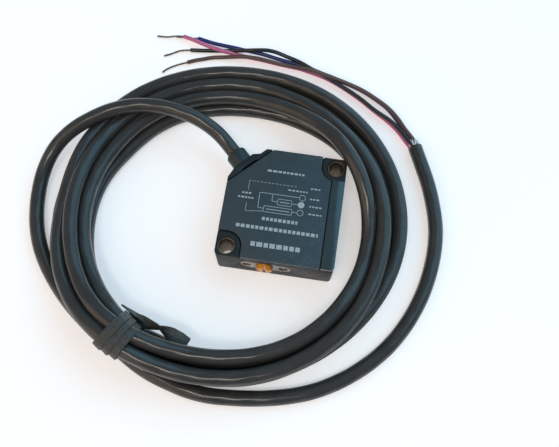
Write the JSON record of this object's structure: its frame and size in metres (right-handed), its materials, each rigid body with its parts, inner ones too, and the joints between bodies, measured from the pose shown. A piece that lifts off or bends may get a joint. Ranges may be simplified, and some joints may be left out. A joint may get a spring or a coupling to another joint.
{
  "type": "photoelectric sensor",
  "caption": "Square block photoelectric sensor with a smoked optical window, a side adjuster and indicator lamps, diagonal mounting holes and a coiled lead with bare core ends.",
  "frame": {"origin": "centre of the case's back face, which lies on the surface", "axes": "+Z out of the label face, +X out of the optical window, -Y out of the adjuster side; the lead leaves between -X and +Y"},
  "size_m": [0.1247, 0.1176, 0.0138],
  "materials": {
    "case_plastic": "fine moulded texture, charcoal grey",
    "cover_plastic": "satin charcoal grey with pale pad print",
    "window_plastic": "polished infrared-passing filter",
    "panel_plastic": "translucent smoke",
    "sleeve_metal": "plated, turned",
    "lens_clear": "clear moulded lens",
    "holder_plastic": "matt black",
    "circuit_board": "green solder mask",
    "contact_metal": "gold flash",
    "chip_black": "moulded epoxy",
    "capacitor_amber": "moulded epoxy",
    "chip_tan": "ceramic",
    "led_clear": "clear epoxy",
    "lamp_red": "tinted epoxy, unlit",
    "lamp_green": "tinted epoxy, unlit",
    "pot_blue": "moulded",
    "rotor_white": "moulded",
    "knob_orange": "moulded, slight gloss",
    "seal_rubber": "smooth",
    "boot_rubber": "moulded elastomer",
    "clamp_steel": "plated",
    "lead_insulation": "soft PVC",
    "jacket_pvc": "glossy soft PVC",
    "brown_pvc": "soft PVC",
    "black_pvc": "soft PVC",
    "blue_pvc": "soft PVC",
    "pink_pvc": "soft PVC",
    "strand_copper": "tinned copper strands",
    "tie_plastic": "ribbed flat band"
  },
  "bodies": {
    "sensor": {"main_case": "case_plastic", "label_cover": "cover_plastic", "optical_window": "window_plastic", "indicator_window": "panel_plastic", "mounting_sleeves": "sleeve_metal", "lens_holder": "holder_plastic", "emitter_lens": "lens_clear", "receiver_lens": "lens_clear", "optics_board": "circuit_board", "emitter_led": "led_clear", "receiver_photodiode": "chip_black", "main_board": "circuit_board", "board_pins": "contact_metal", "control_ic": "chip_black", "output_transistor": "chip_black", "voltage_regulator": "chip_black", "power_capacitor": "capacitor_amber", "chip_parts": "chip_tan", "operation_led": "lamp_red", "stability_led": "lamp_green", "potentiometer_body": "pot_blue", "cable_boot": "boot_rubber", "cable_clamp": "clamp_steel", "inner_leads": "lead_insulation", "cable_start": "jacket_pvc", "cable_coil": "jacket_pvc", "cable_end": "jacket_pvc", "wire_brown": "brown_pvc", "wire_black": "black_pvc", "wire_blue": "blue_pvc", "wire_pink": "pink_pvc", "bare_ends": "strand_copper", "twist_tie": "tie_plastic"},
    "adjuster": {"adjuster_knob": "knob_orange", "potentiometer_rotor": "rotor_white", "adjuster_seal": "seal_rubber"}
  },
  "joints": [
    {"name": "adjuster_turn", "type": "hinge", "parent": "sensor", "child": "adjuster", "pos_m": [-0.0026, -0.017, 0.0065], "axis": [0, -1, 0], "range_deg": [-135, 135]}
  ]
}
